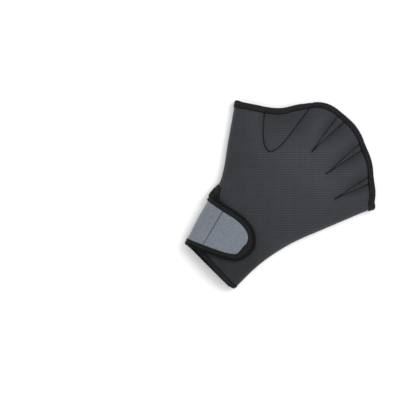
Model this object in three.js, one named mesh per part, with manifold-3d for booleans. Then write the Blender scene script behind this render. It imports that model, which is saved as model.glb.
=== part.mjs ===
// Webbed open-finger swim glove for a left hand, lying palm up with its wrist strap closed.
// Two neoprene panels, the palm above and the back of the hand below, are sewn together along
// both sides. Flat webs close the gaps between the finger channels. Folded tape binds the
// finger edge, the cuff, the slit beside the thumb and the strap.
// Millimetres. X runs across the glove (thumb side negative), Y from the wrist to the fingers, Z up.
import * as THREE from 'three';
import { mergeVertices } from 'three/addons/utils/BufferGeometryUtils.js';
import Module from 'manifold-3d';

const wasm = await Module();
wasm.setup();

// Plan sizes of the panels, measured at the middle of the cloth and without the tape
const gloveLength = 201; // wrist edge to the top of the finger edge
const wristWidth = 65;
const thumbReach = 97; // thumb corner, across from the middle of the wrist
const thumbCornerHeight = 134.5; // thumb corner, up from the wrist edge
const littleReach = 73.5; // little-finger corner, across from the middle of the wrist
const littleCornerHeight = 156;

// Cloth, tape and clearances
const wall = 2.5; // neoprene
const tape = 0.9; // one layer of binding tape
const tapeWidth = 4.6; // binding on the finger edge and the cuff
const strapTapeWidth = 6.4;
const gap = 0.3; // between neighbouring pieces

// Heights of the flattened hand pocket
const edgeRadius = 4; // rounding of the side seams, at the middle of the cloth
const foldRadius = 8; // rounding of the thumb-side fold under the strap
const crownAtWrist = 5; // rise of the palm above its rounded edge
const crownAtPalm = 8.5;
const crownAtFingers = 6.5;
const crownReach = 22; // distance from a side seam at which the crown is full
const palmShare = 0.45; // of the glove's length, from the wrist to the palm's full height
const fingerShare = 0.3; // of the glove's length, over which the palm falls to the finger edge
const webReach = 10; // distance from a web at which a finger channel has its full height
const thumbWebReach = 13;
const rimLevel = 5.5; // distance from an edge over which it is lifted to make room for its tape
const rimRamp = 11; // length over which it comes down again
const foldEnd = 4; // below the top of the slit, where the fold has narrowed to a side seam

// Slit beside the thumb and strap
const slitHeight = 61; // top of the slit above the wrist edge
const slitInsetLow = 9.5; // palm's slit edge from the fold, under the strap
const slitInsetTop = 4.4; // and at the top of the slit
const strapTop = 47.5; // upper edge of the strap at the fold
const strapLength = 60.5; // fold to tip
const strapTilt = 15; // degrees, strap axis against the X axis
const strapSeam = 17; // fold to the seam that joins the strap's tab
const patch = 2.4; // closed hook-and-loop fastener under the tab

// Thumb-side edge: `along` is a share of the thumb corner's height, `out` a share of the way
// from the wrist's corner to the thumb corner.
const thumbSide = [
  { along: 0, out: 0 },
  { along: 0.193, out: 0.136 },
  { along: 0.357, out: 0.222 },
  { along: 0.48, out: 0.272 },
  { along: 0.595, out: 0.403 },
  { along: 0.773, out: 0.671 },
  { along: 1, out: 1 },
];

// Little-finger edge, in the same shares of its own corner
const littleSide = [
  { along: 0, out: 0 },
  { along: 0.19, out: 0.005 },
  { along: 0.34, out: 0.078 },
  { along: 0.498, out: 0.234 },
  { along: 0.676, out: 0.5 },
  { along: 0.872, out: 0.8 },
  { along: 1, out: 1 },
];

// Finger edge: `across` is a share of the way from the thumb corner to the little-finger
// corner, `rise` a share of the height from the nearer corner to the top.
const fingerEdge = [
  { across: 0, rise: 0 },
  { across: 0.1, rise: 0.17 },
  { across: 0.205, rise: 0.38 },
  { across: 0.276, rise: 0.65 },
  { across: 0.37, rise: 0.907 },
  { across: 0.504, rise: 1 },
  { across: 0.639, rise: 0.95 },
  { across: 0.768, rise: 0.756 },
  { across: 0.88, rise: 0.476 },
  { across: 0.956, rise: 0.222 },
  { across: 1, rise: 0 },
];

// Openings along the finger edge, with the web that follows each one, as shares of that edge.
// `depth` is how far the web reaches towards the palm, and `lean` how far its tip sits towards
// the thumb, as shares of the glove's length.
const fingers = [
  { name: 'thumb', opening: 0.136, web: 0.243, depth: 0, lean: 0 },
  { name: 'index', opening: 0.131, web: 0.047, depth: 0.234, lean: 0 },
  { name: 'middle', opening: 0.122, web: 0.035, depth: 0.239, lean: 0.01 },
  { name: 'ring', opening: 0.129, web: 0.038, depth: 0.209, lean: 0.02 },
  { name: 'little', opening: 0.119, web: 0, depth: 0, lean: 0 },
];

// Round thumb web: `across` is a share of its width on the finger edge, `in` the distance
// towards the wrist as a share of the glove's length.
const thumbWeb = [
  { across: 0, in: 0 },
  { across: 0.11, in: 0.093 },
  { across: 0.22, in: 0.175 },
  { across: 0.365, in: 0.245 },
  { across: 0.53, in: 0.29 },
  { across: 0.68, in: 0.308 },
  { across: 0.8, in: 0.292 },
  { across: 0.88, in: 0.25 },
  { across: 0.94, in: 0.175 },
  { across: 0.975, in: 0.09 },
  { across: 1, in: 0 },
];

// Strap in plan: sections along its axis, as shares of its length and of its half width
const strapSections = [
  { along: 0.22, lower: -0.92, upper: 1.05 },
  { along: 0.5, lower: -0.8, upper: 1.02 },
  { along: 0.72, lower: -0.68, upper: 0.9 },
  { along: 0.9, lower: -0.46, upper: 0.62 },
];
const strapTipAcross = 0.1;
const tipStart = 0.4; // shares of the strap's outline at which its tip begins and ends
const tipEnd = 0.58;
const patchAlong = [0.4, 0.7]; // the fastener, in shares of the strap's length and width
const patchAcross = [0.24, 0.77];

// Fineness of the faceted surfaces, in cells or points
const cells = {
  opening: 3, slimWeb: 2, thumbWeb: 5, underStrap: 4, channels: 7, tab: [8, 10], patch: [3, 4],
};
const channelsEnd = 0.93; // share of the glove's length up to which the channel rows are even
const tipCrowding = 1.6; // power by which the tab's columns crowd towards its tip
const seamPoints = 26; // along the thumb web's seam and round the strap's tab
const sidePoints = 60;
const edgePoints = 90;
const finePoints = 600;
const stepShare = 0.002; // steps in which the slope of a surface is measured
const stepLength = 0.2;
const weld = 1e-4; // points nearer than this are one point
const cutterHeight = 100;
const cutterOverhang = 3.6; // by which an outline runs on past the finger edge

const halfWrist = wristWidth / 2;
const tapeRoom = tape + gap; // what a binding adds outside the cloth
const tapeInner = wall / 2 + gap; // faces of a binding's layers, from the middle of the cloth
const tapeOuter = tapeInner + tape;
const tapeNose = 0.45 * tapeOuter; // half the thickness of its rounded front
const lastChannelRow = 2.4 * tapeWidth; // from the finger edge
const seamHeight = edgeRadius + wall / 2 + gap / 2;
const clamp01 = (s) => Math.min(1, Math.max(0, s));
const smooth = (s) => clamp01(s) ** 2 * (3 - 2 * clamp01(s));
const mix = (a, b, s) => a + (b - a) * s;
// Quarter circle: 0 and upright at s = 0, 1 and level from s = 1 on
const roundUp = (s) => Math.sqrt(1 - (1 - clamp01(s)) ** 2);
// Parabola: rises from 0 and is level from s = 1 on
const easeUp = (s) => 1 - (1 - clamp01(s)) ** 2;

// Shares from one value up to, and without, another
const spread = (from, to, count) => Array.from(
  { length: count },
  (_, i) => mix(from, to, i / count),
);
const spreadWithEnd = (from, to, count) => [...spread(from, to, count), to];

// Outline curves in plan
const spline = (points) => {
  const curve = new THREE.SplineCurve(points);
  curve.arcLengthDivisions = finePoints;
  return curve;
};
const thumbSideCurve = spline(thumbSide.map((row) => new THREE.Vector2(
  -mix(halfWrist, thumbReach, row.out),
  row.along * thumbCornerHeight,
)));
const littleSideCurve = spline(littleSide.map((row) => new THREE.Vector2(
  mix(halfWrist, littleReach, row.out),
  row.along * littleCornerHeight,
)));
const topRow = fingerEdge.findIndex((row) => row.rise === 1);
const fingerEdgeCurve = spline(fingerEdge.map((row, i) => new THREE.Vector2(
  mix(-thumbReach, littleReach, row.across),
  mix(i <= topRow ? thumbCornerHeight : littleCornerHeight, gloveLength, row.rise),
)));
const wristCurve = new THREE.LineCurve(
  new THREE.Vector2(-halfWrist, 0),
  new THREE.Vector2(halfWrist, 0),
);

// Coons patch between four curves: left and right run with v, bottom and top with u
function coons(left, right, bottom, top) {
  const corners = [left(0), right(0), left(1), right(1)];
  return (u, v) => {
    const [l, r, b, t] = [left(v), right(v), bottom(u), top(u)];
    const coordinate = (k) => mix(l[k], r[k], u) + mix(b[k], t[k], v)
      - mix(mix(corners[0][k], corners[1][k], u), mix(corners[2][k], corners[3][k], u), v);
    return new THREE.Vector2(coordinate('x'), coordinate('y'));
  };
}
const planAt = coons(
  (v) => thumbSideCurve.getPointAt(v),
  (v) => littleSideCurve.getPointAt(v),
  (u) => wristCurve.getPoint(u),
  (u) => fingerEdgeCurve.getPointAt(u),
);

// Distance from a point to a polyline
function distanceTo(line, p) {
  let best = Infinity;
  for (let i = 1; i < line.length; i += 1) {
    const [a, b] = [line[i - 1], line[i]];
    const [dx, dy] = [b.x - a.x, b.y - a.y];
    const s = clamp01(((p.x - a.x) * dx + (p.y - a.y) * dy) / (dx * dx + dy * dy));
    best = Math.min(best, Math.hypot(p.x - a.x - s * dx, p.y - a.y - s * dy));
  }
  return best;
}
function inside(outline, p) {
  let within = false;
  outline.forEach((a, i) => {
    const b = outline[(i + 1) % outline.length];
    const crosses = (a.y > p.y) !== (b.y > p.y);
    if (crosses && p.x < a.x + ((b.x - a.x) * (p.y - a.y)) / (b.y - a.y)) within = !within;
  });
  return within;
}
const thumbSideLine = thumbSideCurve.getSpacedPoints(sidePoints);
const littleSideLine = littleSideCurve.getSpacedPoints(sidePoints);
const fingerEdgeLine = fingerEdgeCurve.getSpacedPoints(edgePoints);

// Webs in plan, each an outline that starts and ends beyond the finger edge
const edgeShares = fingers.reduce((sum, f) => sum + f.opening + f.web, 0);
const webs = [];
const columnMarks = [];
fingers.reduce((start, finger, i) => {
  const left = start + finger.opening / edgeShares;
  const right = left + finger.web / edgeShares;
  const webCells = finger.depth ? cells.slimWeb : cells.thumbWeb;
  columnMarks.push(...spread(start, left, cells.opening), ...spread(left, right, webCells));
  if (finger.web === 0) return right;
  let seam;
  if (finger.depth === 0) {
    seam = spline(thumbWeb.map((row) => planAt(mix(left, right, row.across), 1 - row.in)))
      .getSpacedPoints(seamPoints);
  } else {
    const middle = (left + right) / 2;
    const length = planAt(middle, 1).distanceTo(planAt(middle, 0));
    const tip = planAt(middle, 1 - (finger.depth * gloveLength) / length);
    tip.x -= finger.lean * gloveLength;
    seam = [planAt(left, 1), tip, planAt(right, 1)];
  }
  const beyond = (end, next) => end.clone().add(end.clone().sub(next).setLength(cutterOverhang));
  const outline = [beyond(seam[0], seam[1]), ...seam, beyond(seam.at(-1), seam.at(-2))];
  webs.push({ name: finger.name, outline, reach: i === 0 ? thumbWebReach : webReach });
  return right;
}, 0);

// 0 on the webs, 1 at the middle of a finger channel and over the palm
function openness(p) {
  return webs.reduce((product, web) => {
    if (inside(web.outline, p)) return 0;
    return product * easeUp(distanceTo(web.outline, p) / web.reach);
  }, 1);
}

// Room made for the tape near the finger edge and the wrist edge
const rimShare = (distance) => smooth(1 - (distance - rimLevel) / rimRamp);

// Heights of the middle of the cloth over the plan. `thumbSideMin` keeps the strap from
// following the palm's rounded side seam.
function palmHeight(p, thumbSideMin = 0) {
  const side = Math.min(
    Math.max(distanceTo(thumbSideLine, p), thumbSideMin),
    distanceTo(littleSideLine, p),
  );
  const fingersAway = distanceTo(fingerEdgeLine, p);
  const crown = mix(crownAtWrist, crownAtPalm, smooth(p.y / (palmShare * gloveLength)))
    - (crownAtPalm - crownAtFingers) * smooth(1 - fingersAway / (fingerShare * gloveLength));
  const open = openness(p);
  const raised = edgeRadius * roundUp(side / edgeRadius) + crown * easeUp(side / crownReach);
  const webbed = wall / 2 + tapeRoom * rimShare(fingersAway);
  return seamHeight + gap / 2 + mix(webbed * roundUp(side / edgeRadius), raised, open);
}
const slitLine = thumbSideLine.filter((p) => p.y > strapTop && p.y < slitHeight);
const foldShare = (y) => smooth((slitHeight - foldEnd - y) / (slitHeight - foldEnd - strapTop));
const thumbSideRadius = (y) => mix(edgeRadius, foldRadius, foldShare(y));
function backHeight(p) {
  const radius = thumbSideRadius(p.y);
  const thumbRound = roundUp(distanceTo(thumbSideLine, p) / radius);
  const littleRound = roundUp(distanceTo(littleSideLine, p) / edgeRadius);
  const edges = radius * (1 - thumbRound) + edgeRadius * (1 - littleRound);
  const fingersAway = distanceTo(fingerEdgeLine, p);
  const rim = rimShare(Math.min(fingersAway, p.y, distanceTo(slitLine, p)));
  const open = openness(p);
  const lift = mix(
    edgeRadius - wall / 2 - tapeRoom * rimShare(fingersAway),
    (tapeRoom + gap) * rim,
    open,
  );
  return wall / 2 + edges + lift * (thumbRound * littleRound) ** 2;
}
const onPlan = (height) => (u, v) => {
  const p = planAt(u, v);
  return new THREE.Vector3(p.x, p.y, height(p));
};
const palmSurface = onPlan(palmHeight);
const backSurface = onPlan(backHeight);

// Unit normal on the +Z side of a surface, from small steps that stay inside 0 to 1
function normalAt(surface, u, v) {
  const [u0, u1] = [Math.max(u - stepShare, 0), Math.min(u + stepShare, 1)];
  const [v0, v1] = [Math.max(v - stepShare, 0), Math.min(v + stepShare, 1)];
  const du = surface(u1, v).sub(surface(u0, v));
  const dv = surface(u, v1).sub(surface(u, v0));
  return du.cross(dv).normalize();
}

// A wall of the given thickness around a grid of {point, normal}; a missing cell is null
function wallOnGrid(rows, thickness) {
  const positions = [];
  const index = [];
  const ids = rows.map((row) => row.map((node) => {
    if (!node) return null;
    const id = positions.length / 3;
    [1, -1].forEach((side) => {
      positions.push(...node.point.clone().addScaledVector(node.normal, (side * thickness) / 2));
    });
    return id;
  }));
  const isCell = (i, j) => [[i, j], [i, j + 1], [i + 1, j], [i + 1, j + 1]]
    .every(([r, c]) => ids[r] && ids[r][c] !== null && ids[r][c] !== undefined);
  const quad = (a, b, c, d) => index.push(a, b, c, a, c, d);
  rows.forEach((row, i) => row.forEach((_, j) => {
    if (!isCell(i, j)) return;
    const [a, b, c, d] = [ids[i][j], ids[i][j + 1], ids[i + 1][j + 1], ids[i + 1][j]];
    quad(a, b, c, d);
    quad(a + 1, d + 1, c + 1, b + 1);
    const edges = [[a, b, i - 1, j], [b, c, i, j + 1], [c, d, i + 1, j], [d, a, i, j - 1]];
    edges.forEach(([p, q, r, s]) => {
      if (r < 0 || s < 0 || !isCell(r, s)) quad(p, p + 1, q + 1, q);
    });
  }));
  return new THREE.BufferGeometry()
    .setAttribute('position', new THREE.Float32BufferAttribute(positions, 3))
    .setIndex(index);
}

// Columns of the panels: at fixed distances beside the seams, and between them in line with
// the openings and webs of the finger edge. `inset` moves the thumb-side edge in.
const sideColumns = [0, 0.15 * edgeRadius, 0.5 * edgeRadius, tapeWidth];
const widthAt = (v) => planAt(0, v).distanceTo(planAt(1, v));
const lengthAt = (u) => planAt(u, 0).distanceTo(planAt(u, 1));
const sideAtFingers = tapeWidth / widthAt(1);
const middleShares = columnMarks
  .filter((u) => u > 2 * sideAtFingers && u < 1 - 2 * sideAtFingers)
  .map((u) => (u - sideAtFingers) / (1 - 2 * sideAtFingers));
function panelColumns(v, inset) {
  const width = widthAt(v);
  const start = inset / width;
  const sides = sideColumns.map((distance) => distance / width);
  const middle = middleShares.map((share) => mix(start + sides.at(-1), 1 - sides.at(-1), share));
  return [...sides.map((u) => start + u), ...middle, ...sides.map((u) => 1 - u).reverse()];
}

// Rows of the panels, each a function of the column
const shareAtHeight = (height) => {
  const line = thumbSideCurve.getSpacedPoints(finePoints);
  return line.findIndex((p) => p.y >= height) / finePoints;
};
const strapTopV = shareAtHeight(strapTop);
const slitV = shareAtHeight(slitHeight);
const slitTapeFrom = shareAtHeight(strapTop + tapeRoom + gap);
const slitTapeTo = shareAtHeight(slitHeight - tapeRoom);
const fromWrist = (distance) => (u) => distance / lengthAt(u);
const fromFingers = (distance) => (u) => 1 - distance / lengthAt(u);
const atShare = (v) => () => v;
const wristRows = [fromWrist(0), fromWrist(tapeWidth), fromWrist(tapeWidth + gap)];
const strapRows = spread(0, strapTopV, cells.underStrap).slice(1).map(atShare);
const panelRows = [
  ...wristRows, ...strapRows, ...[strapTopV, slitTapeFrom, slitTapeTo].map(atShare),
  ...spread(slitV, channelsEnd, cells.channels).map(atShare),
  fromFingers(lastChannelRow), fromFingers(tapeWidth), fromFingers(0),
];
const strapTopRow = wristRows.length + strapRows.length;

// A node of a panel's grid. Where the cloth stands upright its normal lies level.
function gridNode(surface, u, v, upright) {
  const normal = normalAt(surface, u, v);
  return { point: surface(u, v), normal: upright ? normal.setZ(0).normalize() : normal };
}
const panelGrid = (surface, insetAt = () => 0) => panelRows.map((row) => {
  const v = row(0.5);
  return panelColumns(v, insetAt(v)).map((u) => gridNode(surface, u, row(u), u === 0 || u === 1));
});

// Distance of the palm's slit edge from the thumb-side fold
const slitInset = (v) => {
  if (v >= slitV) return 0;
  return mix(slitInsetLow, slitInsetTop, clamp01((v - strapTopV) / (slitTapeTo - strapTopV)));
};
const palmGrid = panelGrid(palmSurface, slitInset);

// Strap in plan, its axis at a tilt from the middle of the fold
const foldEnds = [thumbSideCurve.getPointAt(0), thumbSideCurve.getPointAt(strapTopV)];
const strapHalfWidth = foldEnds[0].distanceTo(foldEnds[1]) / 2;
const strapPoint = (along, across) => new THREE.Vector2(along * strapLength, across * strapHalfWidth)
  .rotateAround(new THREE.Vector2(), THREE.MathUtils.degToRad(strapTilt))
  .add(foldEnds[0].clone().add(foldEnds[1]).multiplyScalar(0.5));
const strapOutline = spline([
  foldEnds[0],
  ...strapSections.map((row) => strapPoint(row.along, row.lower)),
  strapPoint(1, strapTipAcross),
  ...strapSections.map((row) => strapPoint(row.along, row.upper)).reverse(),
  foldEnds[1],
]);
const strapPlan = coons(
  (v) => thumbSideCurve.getPointAt(v * strapTopV),
  (v) => strapOutline.getPointAt(mix(tipStart, tipEnd, v)),
  (u) => strapOutline.getPointAt(u * tipStart),
  (u) => strapOutline.getPointAt(mix(1, tipEnd, u)),
);
const strapAbovePalm = wall + patch + 2 * gap;
const foldMiddle = foldRadius + wall / 2;
function strapHeight(p, above = strapAbovePalm) {
  const level = palmHeight(p, foldRadius) + above;
  return mix(foldMiddle, level, roundUp(distanceTo(thumbSideLine, p) / foldRadius));
}
const strapSurface = (u, v) => {
  const p = strapPlan(u, v);
  return new THREE.Vector3(p.x, p.y, strapHeight(p));
};
const seamU = strapSeam / strapLength;
const seamGapU = gap / strapLength;

// Geometry and manifold-3d solids into each other
function solidOf(geometry) {
  const bare = geometry.clone();
  bare.deleteAttribute('normal');
  bare.deleteAttribute('uv');
  const merged = mergeVertices(bare, weld);
  return new wasm.Manifold(new wasm.Mesh({
    numProp: 3,
    vertProperties: merged.attributes.position.array,
    triVerts: new Uint32Array(merged.index.array),
  }));
}
function geometryOf(solid) {
  const mesh = solid.getMesh();
  return new THREE.BufferGeometry()
    .setAttribute('position', new THREE.BufferAttribute(mesh.vertProperties, 3))
    .setIndex(new THREE.BufferAttribute(mesh.triVerts, 1));
}
// Upright prism over an outline, tall enough to cut right through the glove
function prismOver(outline) {
  const shape = new THREE.Shape(outline);
  const prism = new THREE.ExtrudeGeometry(shape, { depth: cutterHeight, bevelEnabled: false });
  return solidOf(prism.translate(0, 0, -cutterHeight / 2));
}
// Open seam line moved sideways by a distance, positive away from the web
function moved(line, distance) {
  const sides = line.slice(1).map((b, i) => (
    new THREE.Vector2(b.y - line[i].y, line[i].x - b.x).normalize()
  ));
  return line.map((p, i) => {
    const [before, after] = [sides[Math.max(i - 1, 0)], sides[Math.min(i, sides.length - 1)]];
    const bisector = before.clone().add(after).normalize();
    return p.clone().addScaledVector(bisector, distance / bisector.dot(before));
  });
}

// Folded tape round the edge of a cloth. Each chain is a row of nodes from the tape's inner
// edge out to the cloth's edge, and the chains run with the cloth on their left.
function tapeSection(chain) {
  const edge = chain.at(-1);
  const outward = edge.point.clone().sub(chain.at(-2).point).normalize();
  const offset = (node, n, o = 0) => node.point.clone()
    .addScaledVector(node.normal, n).addScaledVector(outward, o);
  const layer = (n) => chain.map((node) => offset(node, n, node === edge ? gap : 0));
  const nose = [tapeNose, -tapeNose].map((n) => offset(edge, n, tapeRoom));
  const loop = [
    ...layer(tapeOuter), ...nose, ...layer(-tapeOuter).reverse(),
    ...layer(-tapeInner), ...layer(tapeInner).reverse(),
  ];
  const flat = loop.map((p) => {
    const fromEdge = p.clone().sub(edge.point);
    return new THREE.Vector2(fromEdge.dot(outward), fromEdge.dot(edge.normal));
  });
  return { loop, flat };
}
function foldedTape(chains, mirrored = false) {
  const sections = chains.map(tapeSection);
  const count = sections[0].loop.length;
  const positions = sections.flatMap(({ loop }) => loop.flatMap((p) => p.toArray()));
  // Each face is split the same way as the cloth's face that it lies along
  const layerSize = chains[0].length;
  const isLowerInner = (k) => k >= 2 * layerSize + 2 && k < 3 * layerSize + 2;
  const index = [];
  sections.slice(1).forEach((_, i) => {
    for (let k = 0; k < count; k += 1) {
      const [a, b] = [i * count + k, i * count + ((k + 1) % count)];
      if (isLowerInner(k) !== mirrored) {
        index.push(a, b, a + count, b, b + count, a + count);
      } else {
        index.push(a, b, b + count, a, b + count, a + count);
      }
    }
  });
  const last = (sections.length - 1) * count;
  THREE.ShapeUtils.triangulateShape(sections[0].flat, [])
    .forEach(([a, b, c]) => index.push(a, b, c));
  THREE.ShapeUtils.triangulateShape(sections.at(-1).flat, [])
    .forEach(([a, b, c]) => index.push(last + a, last + c, last + b));
  return new THREE.BufferGeometry()
    .setAttribute('position', new THREE.Float32BufferAttribute(positions, 3))
    .setIndex(index);
}

function cutByWebs(grid) {
  let solid = solidOf(wallOnGrid(grid, wall));
  webs.forEach((web) => {
    solid = solid.subtract(prismOver(moved(web.outline, gap / 2)));
  });
  return geometryOf(solid);
}

// The back panel goes on round the fold and ends at the strap's seam
const foldColumns = [0.13, 0.5, 1].map((share) => (share * foldRadius) / strapLength);
const wrapColumns = [...foldColumns, (foldColumns.at(-1) + seamU) / 2, seamU];
const strapNode = (u, v) => gridNode(strapSurface, u, v, u === 0);
const strapTapeV = (u) => strapTapeWidth / strapPlan(u, 0).distanceTo(strapPlan(u, 1));
const strapV = (row, u) => [0, strapTapeV(u)][row]
  ?? [1 - strapTapeV(u), 1][row - strapTopRow + 1]
  ?? mix(strapTapeV(u), 1 - strapTapeV(u), (row - 1) / (strapTopRow - 2));
const backGrid = panelGrid(backSurface).map((row, i) => [
  ...wrapColumns.toReversed().map((u) => {
    if (i > strapTopRow) return null;
    const node = strapNode(u, strapV(i, u));
    return { point: node.point, normal: node.normal.negate() };
  }),
  ...row,
]);

const webPiece = (surface, web) => {
  const sheet = solidOf(wallOnGrid(panelGrid(surface), wall));
  return geometryOf(sheet.intersect(prismOver(moved(web.outline, -gap / 2))));
};

// Where the tape's chains stand round the tab, as shares of the outline
const strapTapeShares = spread(seamU * tipStart, mix(1, tipEnd, seamU), seamPoints).slice(1);

function strapTab() {
  const crowded = (s) => mix(seamU + seamGapU, 1, 1 - (1 - s) ** tipCrowding);
  const columns = spreadWithEnd(0, 1, cells.tab[0]).map(crowded);
  const rows = spreadWithEnd(0, 1, cells.tab[1]);
  const sheet = wallOnGrid(rows.map((v) => columns.map((u) => strapNode(u, v))), wall);
  return geometryOf(solidOf(sheet).intersect(prismOver([
    strapPlan(seamU / 2, 0.5),
    strapPlan(seamU, 0),
    ...strapTapeShares.map((share) => strapOutline.getPointAt(share)),
    strapPlan(seamU, 1),
  ])));
}

function hookPatch() {
  const middleOfPatch = (wall + patch) / 2 + gap;
  const surface = (u, v) => {
    const p = strapPlan(u, v);
    return new THREE.Vector3(p.x, p.y, strapHeight(p, middleOfPatch));
  };
  const columns = spreadWithEnd(...patchAlong, cells.patch[0]);
  const rows = spreadWithEnd(...patchAcross, cells.patch[1]);
  return wallOnGrid(rows.map((v) => columns.map((u) => gridNode(surface, u, v))), patch);
}

// Bindings on the panels take their chains from the panels' own grids
const fingerBinding = (grid) => foldedTape(
  grid.at(-1).map((edge, j) => [grid.at(-2)[j], edge]).filter((chain) => chain[1]).reverse(),
);
const cuffBinding = (grid, firstColumn) => foldedTape(
  grid[0].map((edge, j) => [grid[1][j], edge]).slice(firstColumn),
);
const slitBinding = (grid, firstColumn, rows) => foldedTape(
  rows.map((row) => grid[row].slice(firstColumn, firstColumn + sideColumns.length).reverse()),
  true,
);
const palmSlitRows = Array.from({ length: strapTopRow + 1 }, (_, i) => strapTopRow + 2 - i);
const backSlitRows = [strapTopRow + 2, strapTopRow + 1];

// The strap's binding starts and ends at the fold, just above the back panel's own bindings
const withMiddle = ([inner, edge]) => [inner, {
  point: inner.point.clone().lerp(edge.point, 0.5),
  normal: inner.normal.clone().add(edge.normal).normalize(),
}, edge];
function strapBinding() {
  const atWrap = (u, v) => {
    const width = strapTapeV(u);
    return withMiddle([strapNode(u, v === 0 ? width : 1 - width), strapNode(u, v)]);
  };
  const clearOfFold = (chain) => chain.map(({ point, normal }) => ({
    point: point.clone().setZ(point.z + gap),
    normal,
  }));
  const nodeAt = (p) => {
    const heightFrom = (dx, dy) => strapHeight(new THREE.Vector2(p.x + dx, p.y + dy));
    const slope = (dx, dy) => (heightFrom(dx, dy) - heightFrom(-dx, -dy)) / (2 * stepLength);
    return {
      point: new THREE.Vector3(p.x, p.y, strapHeight(p)),
      normal: new THREE.Vector3(-slope(stepLength, 0), -slope(0, stepLength), 1).normalize(),
    };
  };
  const onOutline = (share) => {
    const edge = strapOutline.getPointAt(share);
    const tangent = strapOutline.getTangentAt(share);
    const inward = new THREE.Vector2(-tangent.y, tangent.x);
    return [1, 0.5, 0].map((k) => nodeAt(edge.clone().addScaledVector(inward, k * strapTapeWidth)));
  };
  const wrap = [...foldColumns, seamU];
  return foldedTape([
    clearOfFold(atWrap(0, 0)),
    ...wrap.map((u) => atWrap(u, 0)),
    ...strapTapeShares.map(onOutline),
    ...wrap.toReversed().map((u) => atWrap(u, 1)),
    clearOfFold(atWrap(0, 1)),
  ]);
}

// Materials by finish
const cloth = (color, roughness) => new THREE.MeshStandardMaterial({ color, roughness, metalness: 0 });
const gripNeoprene = cloth(0x3d4144, 0.7);
const greyNeoprene = cloth(0x7b828c, 0.9);
const blackTape = cloth(0x1f2022, 0.85);
const blackHook = cloth(0x161617, 0.95);

const glove = new THREE.Group();
function add(name, geometry, material) {
  const mesh = new THREE.Mesh(geometry, material);
  mesh.name = name;
  glove.add(mesh);
}
add('palm_panel', cutByWebs(palmGrid), gripNeoprene);
add('back_panel', cutByWebs(backGrid), greyNeoprene);
webs.forEach((web) => {
  add(`${web.name}_web_palm`, webPiece(palmSurface, web), gripNeoprene);
  add(`${web.name}_web_back`, webPiece(backSurface, web), greyNeoprene);
});
add('strap_tab', strapTab(), greyNeoprene);
add('hook_patch', hookPatch(), blackHook);
add('finger_binding_palm', fingerBinding(palmGrid), blackTape);
add('finger_binding_back', fingerBinding(backGrid), blackTape);
add('cuff_binding_palm', cuffBinding(palmGrid, 0), blackTape);
add('cuff_binding_back', cuffBinding(backGrid, wrapColumns.length), blackTape);
add('slit_binding_palm', slitBinding(palmGrid, 0, palmSlitRows), blackTape);
add('slit_binding_back', slitBinding(backGrid, wrapColumns.length, backSlitRows), blackTape);
add('strap_binding', strapBinding(), blackTape);

// The part's origin is on the surface that it lies on, under the middle of its box
const part = new THREE.Group();
part.add(glove);
const box = new THREE.Box3().setFromObject(glove);
const centre = box.getCenter(new THREE.Vector3());
glove.position.set(-centre.x, -centre.y, -box.min.z);

export default part;
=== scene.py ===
"""Webbed open-finger swim glove for a left hand, lying palm up with its wrist strap closed."""
import math

import bpy
import numpy as np
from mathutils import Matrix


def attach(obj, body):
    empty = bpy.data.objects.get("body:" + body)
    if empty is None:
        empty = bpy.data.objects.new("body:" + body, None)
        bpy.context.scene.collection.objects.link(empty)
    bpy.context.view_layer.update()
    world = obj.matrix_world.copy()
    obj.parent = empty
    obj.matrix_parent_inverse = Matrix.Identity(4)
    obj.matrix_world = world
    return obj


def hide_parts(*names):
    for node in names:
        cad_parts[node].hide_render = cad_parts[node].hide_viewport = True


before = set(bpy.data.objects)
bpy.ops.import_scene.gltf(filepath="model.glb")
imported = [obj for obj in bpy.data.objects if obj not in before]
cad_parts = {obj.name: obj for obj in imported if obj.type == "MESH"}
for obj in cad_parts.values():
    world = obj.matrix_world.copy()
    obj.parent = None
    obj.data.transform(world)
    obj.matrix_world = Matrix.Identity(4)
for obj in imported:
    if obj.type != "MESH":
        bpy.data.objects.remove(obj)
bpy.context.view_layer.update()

# The camera looks straight down on the glove, which lies turned by 45 degrees as in the
# photograph, so that its fingers point to the upper right.
view_middle = (-0.0420, -0.0609)
view_height = 1.612
camera = bpy.data.objects.new("camera", bpy.data.cameras.new("camera"))
camera.data.lens = 144
camera.data.sensor_width = 36
camera.location = (*view_middle, view_height)
camera.rotation_euler = (0, 0, math.radians(45))
bpy.context.collection.objects.link(camera)
bpy.context.scene.camera = camera
bpy.context.scene.view_settings.view_transform = "Standard"

# A plain white table under an even white sky, with one large soft lamp beyond the fingers
# that gives the cloth its shape.
table_half, table_level = 2.5, -0.0002
floor_mesh = bpy.data.meshes.new("floor")
floor_mesh.from_pydata([(x*table_half, y*table_half, table_level) for x, y in (
    (-1, -1), (1, -1), (1, 1), (-1, 1))], [], [(0, 1, 2, 3)])
floor = bpy.data.objects.new("floor", floor_mesh)
bpy.context.collection.objects.link(floor)
white = bpy.data.materials.new("white_table")
white.use_nodes = True
white_inputs = white.node_tree.nodes["Principled BSDF"].inputs
white_inputs["Base Color"].default_value = (0.94, 0.94, 0.94, 1)
white_inputs["Roughness"].default_value = 0.8
white_inputs["Specular IOR Level"].default_value = 0.1
floor_mesh.materials.append(white)
world = bpy.data.worlds.new("sky")
world.use_nodes = True
sky_inputs = world.node_tree.nodes["Background"].inputs
sky_inputs["Color"].default_value = (1, 1, 1, 1)
sky_inputs["Strength"].default_value = 0.99
bpy.context.scene.world = world
lamp = bpy.data.objects.new("lamp", bpy.data.lights.new("lamp", "AREA"))
lamp.data.energy = 8.5
lamp.data.size = 0.8
lamp.location = (0.2, 0.75, 1.05)
lamp.rotation_euler = (math.radians(-36), 0, math.radians(-15))
bpy.context.collection.objects.link(lamp)

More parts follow.
